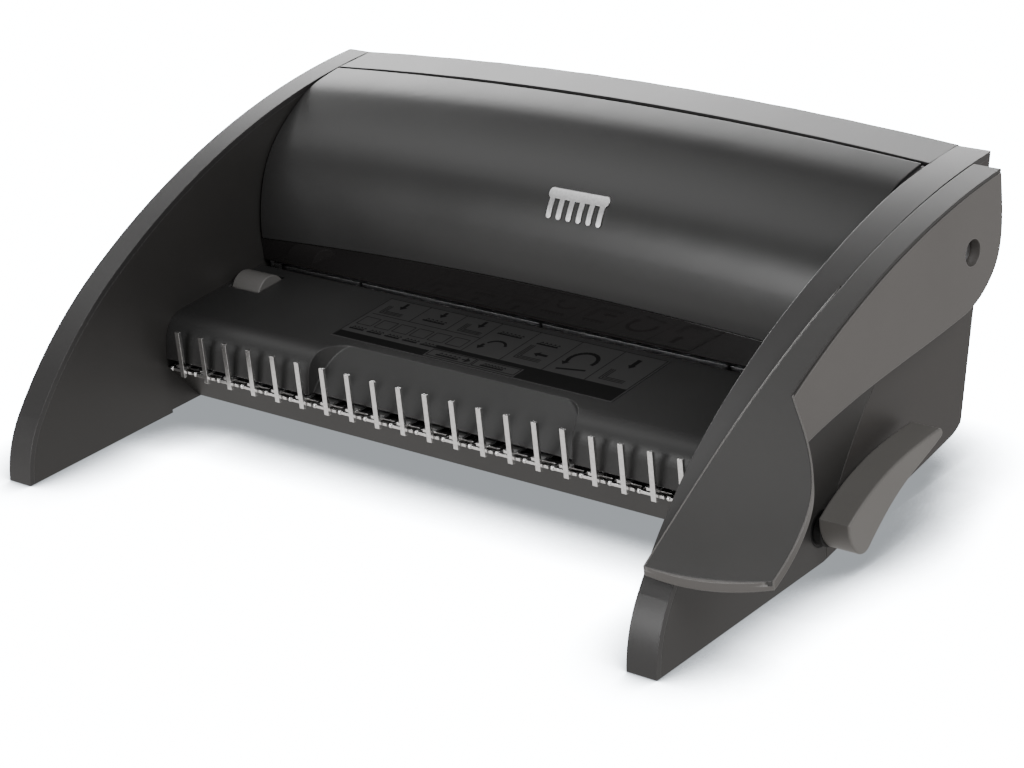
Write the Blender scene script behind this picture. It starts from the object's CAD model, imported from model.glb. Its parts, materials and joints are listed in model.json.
import bpy, json, math
from mathutils import Matrix, Vector


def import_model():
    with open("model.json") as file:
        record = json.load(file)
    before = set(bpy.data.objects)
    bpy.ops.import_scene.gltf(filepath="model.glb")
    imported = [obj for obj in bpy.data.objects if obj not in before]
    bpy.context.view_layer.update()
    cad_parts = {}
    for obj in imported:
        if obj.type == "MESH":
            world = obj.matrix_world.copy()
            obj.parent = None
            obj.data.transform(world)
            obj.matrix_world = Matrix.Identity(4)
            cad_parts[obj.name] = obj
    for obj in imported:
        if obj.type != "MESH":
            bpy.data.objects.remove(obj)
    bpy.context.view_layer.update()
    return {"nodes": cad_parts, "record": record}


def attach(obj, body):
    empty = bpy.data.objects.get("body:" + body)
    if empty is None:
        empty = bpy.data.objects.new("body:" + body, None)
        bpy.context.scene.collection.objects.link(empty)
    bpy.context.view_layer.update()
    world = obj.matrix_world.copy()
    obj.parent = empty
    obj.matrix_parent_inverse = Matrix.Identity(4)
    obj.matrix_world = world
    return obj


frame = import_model()

MM = 0.001
# from the modelling frame, where X = 0 lies midway between the cheeks, to the row frame
SHIFT = Vector((-22.155, -118.0, 0.0)) * MM


# ---------------------------------------------------------------- materials
EDGE_RADIUS = 0.45 * MM    # how far moulded edges are rounded
METAL_EDGE = 0.2 * MM
EDGE_SAMPLES = 6
MOTTLE_SCALE = 22.0        # slow drift of colour and roughness over a moulding
WORN_FROM, WORN_TO = 0.995, 0.90   # edge mask, as the cosine between rounded and flat normal


def new_material(name):
    """An empty principled material with its node tree."""
    mat = bpy.data.materials.new(name)
    mat.use_nodes = True
    tree = mat.node_tree
    bsdf = tree.nodes["Principled BSDF"]
    return mat, tree, bsdf


def node(tree, kind, **values):
    """Adds a shader node and sets its named inputs."""
    made = tree.nodes.new(kind)
    for name, value in values.items():
        made.inputs[name.replace("_", " ")].default_value = value
    return made


def grain(tree, bsdf, scale, strength, radius, distance=0.0002):
    """Fine surface texture on softly rounded edges; returns the coordinates, the noise and an edge mask."""
    coords = node(tree, "ShaderNodeTexCoord")
    noise = node(tree, "ShaderNodeTexNoise", Scale=scale, Detail=3.0)
    tree.links.new(coords.outputs["Object"], noise.inputs["Vector"])
    bevel = node(tree, "ShaderNodeBevel", Radius=radius)
    bevel.samples = EDGE_SAMPLES
    bump = node(tree, "ShaderNodeBump", Strength=strength, Distance=distance)
    tree.links.new(noise.outputs[0], bump.inputs["Height"])
    tree.links.new(bevel.outputs[0], bump.inputs["Normal"])
    tree.links.new(bump.outputs["Normal"], bsdf.inputs["Normal"])
    flat = node(tree, "ShaderNodeNewGeometry")
    turn = node(tree, "ShaderNodeVectorMath")
    turn.operation = "DOT_PRODUCT"
    tree.links.new(bevel.outputs[0], turn.inputs[0])
    tree.links.new(flat.outputs["Normal"], turn.inputs[1])
    edge = node(tree, "ShaderNodeMapRange", From_Min=WORN_FROM, From_Max=WORN_TO)
    tree.links.new(turn.outputs["Value"], edge.inputs["Value"])
    return coords, noise, edge


def tint(tree, bsdf, source, colour, low, high, edge, wear):
    """Base colour that drifts between two shades and is a little lighter along the edges."""
    ramp = node(tree, "ShaderNodeValToRGB")
    ramp.color_ramp.elements[0].position = 0.35
    ramp.color_ramp.elements[1].position = 0.65
    ramp.color_ramp.elements[0].color = (*[c * low for c in colour], 1)
    ramp.color_ramp.elements[1].color = (*[min(1, c * high) for c in colour], 1)
    tree.links.new(source.outputs[0], ramp.inputs["Fac"])
    worn = node(tree, "ShaderNodeMix")
    worn.data_type = "RGBA"
    worn.blend_type = "ADD"
    tree.links.new(edge.outputs[0], worn.inputs["Factor"])
    tree.links.new(ramp.outputs["Color"], worn.inputs[6])
    worn.inputs[7].default_value = (wear, wear, wear, 1)
    tree.links.new(worn.outputs[2], bsdf.inputs["Base Color"])


def plastic(
    name, colour, rough, bump=0.10, scale=2600, spread=0.04, specular=0.5, wear=0.02, radius=EDGE_RADIUS
):
    """Moulded plastic with a fine grain, uneven sheen and lighter edges."""
    mat, tree, bsdf = new_material(name)
    bsdf.inputs["Specular IOR Level"].default_value = specular
    coords, noise, edge = grain(tree, bsdf, scale, bump, radius)
    broad = node(tree, "ShaderNodeTexNoise", Scale=MOTTLE_SCALE, Detail=4.0)
    tree.links.new(coords.outputs["Object"], broad.inputs["Vector"])
    rough_map = node(tree, "ShaderNodeMapRange", To_Min=rough - spread, To_Max=rough + spread)
    tree.links.new(broad.outputs[0], rough_map.inputs["Value"])
    tree.links.new(rough_map.outputs[0], bsdf.inputs["Roughness"])
    tint(tree, bsdf, broad, colour, 0.95, 1.05, edge, wear)
    return mat


def metal(name, colour, rough, brushed=0.0):
    """Plated or ground metal with a slightly uneven sheen."""
    mat, tree, bsdf = new_material(name)
    bsdf.inputs["Metallic"].default_value = 1.0
    bsdf.inputs["Anisotropic"].default_value = brushed
    coords, noise, edge = grain(tree, bsdf, 900, 0.06, METAL_EDGE, 0.0001)
    rough_map = node(tree, "ShaderNodeMapRange", To_Min=rough - 0.05, To_Max=rough + 0.05)
    tree.links.new(noise.outputs[0], rough_map.inputs["Value"])
    tree.links.new(rough_map.outputs[0], bsdf.inputs["Roughness"])
    tint(tree, bsdf, noise, colour, 0.9, 1.06, edge, 0.03)
    return mat


MATS = {
    "cheek_plastic": plastic("cheek_plastic", (0.027, 0.026, 0.025), 0.42),
    "casing_plastic": plastic("casing_plastic", (0.040, 0.037, 0.035), 0.45),
    "band_plastic": plastic("band_plastic", (0.030, 0.029, 0.029), 0.36, wear=0.04),
    "dome_gloss": plastic("dome_gloss", (0.026, 0.026, 0.026), 0.33, bump=0.04),
    "strip_gloss": plastic("strip_gloss", (0.013, 0.012, 0.012), 0.08, bump=0.0, spread=0.02, wear=0.0),
    "deck_plastic": plastic("deck_plastic", (0.021, 0.021, 0.021), 0.42, radius=0.8 * MM),
    "label_film": plastic("label_film", (0.028, 0.028, 0.028), 0.44, bump=0.02, wear=0.0),
    "badge_silver": metal("badge_silver", (0.86, 0.86, 0.87), 0.30),
    "base_plastic": plastic("base_plastic", (0.020, 0.019, 0.018), 0.5, specular=0.2),
    "foot_rubber": plastic("foot_rubber", (0.02, 0.02, 0.02), 0.8, bump=0.3, scale=1400),
    "zinc_steel": metal("zinc_steel", (0.55, 0.56, 0.57), 0.35, 0.3),
    "bright_steel": metal("bright_steel", (0.97, 0.96, 0.95), 0.24, 0.2),
    "plate_steel": metal("plate_steel", (0.22, 0.22, 0.22), 0.42, 0.3),
    "tool_steel": metal("tool_steel", (0.38, 0.38, 0.39), 0.4, 0.3),
    "spring_steel": metal("spring_steel", (0.5, 0.5, 0.5), 0.3),
    "bush_bronze": metal("bush_bronze", (0.55, 0.40, 0.22), 0.45),
    "guide_nylon": plastic("guide_nylon", (0.04, 0.04, 0.04), 0.5),
    "lever_grey": plastic("lever_grey", (0.150, 0.144, 0.136), 0.46, wear=0.06, radius=0.9 * MM),
    "arm_grey": plastic("arm_grey", (0.105, 0.099, 0.094), 0.44, wear=0.08, radius=0.7 * MM),
    "handle_skin": plastic("handle_skin", (0.036, 0.035, 0.034), 0.42, wear=0.01),
    "wheel_grey": plastic("wheel_grey", (0.115, 0.112, 0.108), 0.45, wear=0.06),
    "socket_black": plastic("socket_black", (0.006, 0.006, 0.006), 0.6, wear=0.0),
}
INK = plastic("label_ink", (0.003, 0.003, 0.003), 0.6, bump=0.0, specular=0.15, wear=0.0)
slots = {row["node"]: row["material_slot"] for row in frame["record"]["subparts"]}
for name, obj in frame["nodes"].items():
    obj.data.materials.clear()
    obj.data.materials.append(MATS[slots[name]])


# ---------------------------------------------------------------- label print
INK_RISE = 0.04 * MM       # the print stands this far above the film
STROKE = 0.45
HAIRLINE = 0.35
THIN = 0.4
HEAD_LENGTH, HEAD_HALF = 2.6, 2
LABEL_FRONT, LABEL_BACK = 107.0, 145.0
CELL_FRONT = 117.3
CELL_EDGES = (-77.0, -53.4, -33.0, -13.5, 7.2, 29.5, 51.5, 73.0)


def on_label(x, y):
    """Point just above the label film, from millimetres in the modelling frame."""
    film = frame["nodes"]["instruction_label"]
    start = Vector((x, y, 300)) * MM + SHIFT
    hit, place, normal, index = film.ray_cast(start, Vector((0, 0, -1)))
    return place + Vector((0, 0, INK_RISE)) if hit else None


class Print:
    """Collects flat strokes and patches that lie on the label."""

    def __init__(self):
        self.points = []
        self.faces = []

    def quad(self, corners):
        """Flat patch with these corners, left out where it would hang over the label's edge."""
        placed = [on_label(*corner) for corner in corners]
        if None in placed:
            return
        first = len(self.points)
        self.points += placed
        self.faces.append(tuple(range(first, first + len(placed))))

    def line(self, path, width=STROKE, step=3.0):
        """Stroke along a path, cut into short pieces that follow the curved film."""
        for (x0, y0), (x1, y1) in zip(path, path[1:]):
            length = math.hypot(x1 - x0, y1 - y0)
            side_x, side_y = (y0 - y1) / length * width / 2, (x1 - x0) / length * width / 2
            parts = max(1, math.ceil(length / step))
            for i in range(parts):
                a, b = i / parts, (i + 1) / parts
                ax, ay = x0 + (x1 - x0) * a, y0 + (y1 - y0) * a
                bx, by = x0 + (x1 - x0) * b, y0 + (y1 - y0) * b
                near = [(ax - side_x, ay - side_y), (bx - side_x, by - side_y)]
                far = [(bx + side_x, by + side_y), (ax + side_x, ay + side_y)]
                self.quad(near + far)

    def box(self, x0, x1, y0, y1, width=STROKE):
        self.line([(x0, y0), (x1, y0), (x1, y1), (x0, y1), (x0, y0)], width)

    def patch(self, x0, x1, y0, y1, step=4.0):
        """Solid printed rectangle."""
        across, along = max(1, math.ceil((x1 - x0) / step)), max(1, math.ceil((y1 - y0) / step))
        for i in range(across):
            for j in range(along):
                a, b = x0 + (x1 - x0) * i / across, x0 + (x1 - x0) * (i + 1) / across
                c, d = y0 + (y1 - y0) * j / along, y0 + (y1 - y0) * (j + 1) / along
                self.quad([(a, c), (b, c), (b, d), (a, d)])

    def arrow(self, x0, y0, x1, y1, width=1.6):
        """Straight arrow with a triangular head."""
        length = math.hypot(x1 - x0, y1 - y0)
        ux, uy = (x1 - x0) / length, (y1 - y0) / length
        neck_x, neck_y = x1 - ux * HEAD_LENGTH, y1 - uy * HEAD_LENGTH
        self.line([(x0, y0), (neck_x, neck_y)], width)
        left = (neck_x - uy * HEAD_HALF, neck_y + ux * HEAD_HALF)
        right = (neck_x + uy * HEAD_HALF, neck_y - ux * HEAD_HALF)
        self.quad([left, right, (x1, y1)])

    def arc(self, x, y, radius, start, end, width=1.2):
        steps = 12
        turns = [math.radians(start + (end - start) * i / steps) for i in range(steps + 1)]
        self.line([(x + radius * math.cos(t), y + radius * math.sin(t)) for t in turns], width)

    def comb(self, x, y, length, rings):
        """Comb seen from the side: a spine with short curved rings."""
        self.line([(x, y), (x + length, y)], 1.0)
        for i in range(rings):
            at = x + length * (i + 0.5) / rings
            self.line([(at, y), (at + 0.6, y + 2.2), (at + 1.4, y + 1.2)], THIN)

    def sheets(self, x, y, width, depth):
        """Stack of paper drawn as three shifted corners."""
        for i in range(3):
            self.line([(x + i, y + depth), (x + i, y + i), (x + width, y + i)], THIN)

    def make(self, name, material):
        """Turns what was drawn into one piece on the base."""
        mesh = bpy.data.meshes.new(name)
        mesh.from_pydata(self.points, [], self.faces)
        piece = bpy.data.objects.new(name, mesh)
        bpy.context.scene.collection.objects.link(piece)
        mesh.materials.append(material)
        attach(piece, "base")


def label_print():
    """Small line drawings of sheets, combs and arrows in their cells; no lettering."""
    ink = Print()
    for x in CELL_EDGES[1:-1]:
        front = CELL_FRONT if x > -20 else 130.0
        ink.line([(x, front), (x, LABEL_BACK)], HAIRLINE)
    ink.box(CELL_EDGES[0] + 0.6, CELL_EDGES[-1], LABEL_FRONT, LABEL_BACK, HAIRLINE)
    ink.patch(23.0, CELL_EDGES[-1], LABEL_FRONT, CELL_FRONT)
    ink.patch(-76.0, -26.0, LABEL_FRONT, 111.8)
    ink.patch(-26.0, 23.0, 114.4, CELL_FRONT)
    ink.box(-25.0, -1.5, 108.4, 113.8)
    ink.box(-0.5, 22.0, 108.4, 113.8)
    ink.comb(-21.0, 110.0, 12.0, 5)
    ink.arrow(-7.5, 111.0, -3.0, 111.0, 0.7)
    ink.comb(3.0, 110.0, 12.0, 7)
    ink.line([(-77.0, 130.0), (-13.5, 130.0)], HAIRLINE)
    for i in range(6):
        left = -74.0 + 10.0 * i
        ink.comb(left, 115.0, 8.0, 4)
        ink.box(left, left + 8.0, 119.5, 126.5, HAIRLINE)
    for left in (CELL_EDGES[0], CELL_EDGES[2]):
        ink.sheets(left + 5, 132, 12, 7)
        ink.arrow(left + 12, 143.5, left + 12, 137.5)
    ink.comb(-49.0, 134.0, 12.0, 5)
    ink.arrow(-43.0, 143.5, -43.0, 138.5)
    ink.comb(-10.0, 137.0, 13.0, 6)
    ink.arc(-3.0, 126.0, 5.0, 20, 160)
    ink.arrow(-8.5, 126.5, -8.8, 122.0)
    ink.sheets(11.0, 122.0, 13.0, 12.0)
    ink.comb(12.0, 136.0, 11.0, 5)
    ink.arrow(24.0, 128.0, 17.0, 128.0)
    ink.arc(40.0, 131.0, 6.5, -20, 200, 1.8)
    ink.arrow(34.0, 129.0, 34.2, 125.0)
    ink.line([(34.0, 121.0), (47.0, 124.0)], 1.2)
    ink.sheets(56.0, 121.0, 12.0, 9.0)
    ink.arrow(62.0, 141.0, 62.0, 133.0, 2.2)
    ink.make("label_print", INK)


label_print()


# ---------------------------------------------------------------- stage
SHADOW_REACH = 0.042       # metres over which the contact shadow fades
CLOSED, OPEN = 0.45, 0.97  # ambient occlusion at the darkest and the first unshaded place
SHADOW_TINT = (0.88, 0.94, 1.0)
FLOOR_TINT = (1.0, 0.975, 0.955)
SHADOW_GLOW = 0.42         # what the eye sees where the object touches the floor
OPEN_GLOW = 20.0           # and on the open floor, which burns out to white
FLOOR_LIGHT = 0.80         # what the floor gives back to the object


def floor():
    """White studio floor that darkens softly where the object stands close to it."""
    bpy.ops.mesh.primitive_plane_add(size=30, location=(0, 0, -0.0002))
    plane = bpy.context.object
    plane.name = "floor"
    mat = bpy.data.materials.new("floor_white")
    mat.use_nodes = True
    tree = mat.node_tree
    tree.nodes.clear()
    shade = node(tree, "ShaderNodeAmbientOcclusion", Distance=SHADOW_REACH)
    shade.samples = 16
    openness = node(tree, "ShaderNodeMapRange", From_Min=CLOSED, From_Max=OPEN)
    tree.links.new(shade.outputs["AO"], openness.inputs["Value"])
    rise = node(tree, "ShaderNodeMath")
    rise.operation = "POWER"
    rise.inputs[0].default_value = OPEN_GLOW / SHADOW_GLOW
    tree.links.new(openness.outputs[0], rise.inputs[1])
    seen = node(tree, "ShaderNodeMath")
    seen.operation = "MULTIPLY"
    seen.inputs[1].default_value = SHADOW_GLOW
    tree.links.new(rise.outputs[0], seen.inputs[0])
    path = node(tree, "ShaderNodeLightPath")
    strength = node(tree, "ShaderNodeMix")
    tree.links.new(path.outputs["Is Camera Ray"], strength.inputs[0])
    strength.inputs[2].default_value = FLOOR_LIGHT
    tree.links.new(seen.outputs[0], strength.inputs[3])
    tone = node(tree, "ShaderNodeMix")
    tone.data_type = "RGBA"
    tone.inputs[6].default_value = (*FLOOR_TINT, 1)
    tone.inputs[7].default_value = (*SHADOW_TINT, 1)
    tree.links.new(path.outputs["Is Camera Ray"], tone.inputs[0])
    glow = node(tree, "ShaderNodeEmission")
    tree.links.new(tone.outputs[2], glow.inputs["Color"])
    tree.links.new(strength.outputs[0], glow.inputs["Strength"])
    out = node(tree, "ShaderNodeOutputMaterial")
    tree.links.new(glow.outputs[0], out.inputs["Surface"])
    plane.data.materials.append(mat)


def lamp(name, place, target, energy, width, height):
    """Rectangular soft box aimed at a point."""
    light = bpy.data.lights.new(name, "AREA")
    light.shape = "RECTANGLE"
    light.size = width
    light.size_y = height
    light.energy = energy
    obj = bpy.data.objects.new(name, light)
    bpy.context.scene.collection.objects.link(obj)
    obj.location = place
    aim = Vector(target) - Vector(place)
    obj.rotation_euler = aim.to_track_quat("-Z", "Y").to_euler()


def world(colour, strength):
    """White to the eye, dim for the light that reaches the object."""
    scene_world = bpy.data.worlds.new("studio")
    bpy.context.scene.world = scene_world
    scene_world.use_nodes = True
    tree = scene_world.node_tree
    seen = tree.nodes["Background"]
    seen.inputs["Color"].default_value = (1, 1, 1, 1)
    seen.inputs["Strength"].default_value = OPEN_GLOW
    dim = node(tree, "ShaderNodeBackground", Color=(*colour, 1), Strength=strength)
    path = node(tree, "ShaderNodeLightPath")
    mix = node(tree, "ShaderNodeMixShader")
    tree.links.new(path.outputs["Is Camera Ray"], mix.inputs[0])
    tree.links.new(dim.outputs[0], mix.inputs[1])
    tree.links.new(seen.outputs[0], mix.inputs[2])
    tree.links.new(mix.outputs[0], tree.nodes["World Output"].inputs["Surface"])


CAMERA_PLACE = (758.83, -710.34, 516.73)       # millimetres, modelling frame
AZIMUTH, ELEVATION, ROLL = 42.03, 23.35, -6.01 # degrees
LENS, SENSOR = 104.55, 36.0


def camera():
    """The one camera, in front of and to the right of the machine, a little tilted."""
    azimuth, elevation, roll = math.radians(AZIMUTH), math.radians(ELEVATION), math.radians(ROLL)
    place = Vector(CAMERA_PLACE) * MM + SHIFT
    level = math.cos(elevation)
    forward = Vector((-math.sin(azimuth) * level, math.cos(azimuth) * level, -math.sin(elevation)))
    right = forward.cross(Vector((0, 0, 1))).normalized()
    up = right.cross(forward)
    tilted_right = right * math.cos(roll) + up * math.sin(roll)
    tilted_up = up * math.cos(roll) - right * math.sin(roll)
    data = bpy.data.cameras.new("camera")
    data.lens = LENS
    data.sensor_width = SENSOR
    data.clip_end = 50
    cam = bpy.data.objects.new("camera", data)
    bpy.context.scene.collection.objects.link(cam)
    basis = Matrix((tilted_right, tilted_up, -forward)).transposed().to_4x4()
    basis.translation = place
    cam.matrix_world = basis
    bpy.context.scene.camera = cam


floor()
world((1.0, 0.985, 0.97), 0.24)
lamp("back_box", (-1.5, 1.75, 0.88), (0, 0, 0.05), 56, 3.0, 0.9)
lamp("top_left", (-1.3, -0.4, 1.9), (0, 0, 0.05), 7, 1.2, 1.2)
lamp("front", (-0.5, -1.9, 0.75), (0, 0, 0.05), 24, 1.4, 0.8)
lamp("right_top", (1.5, -0.3, 1.3), (0.15, 0, 0.05), 22, 0.8, 0.8)
camera()
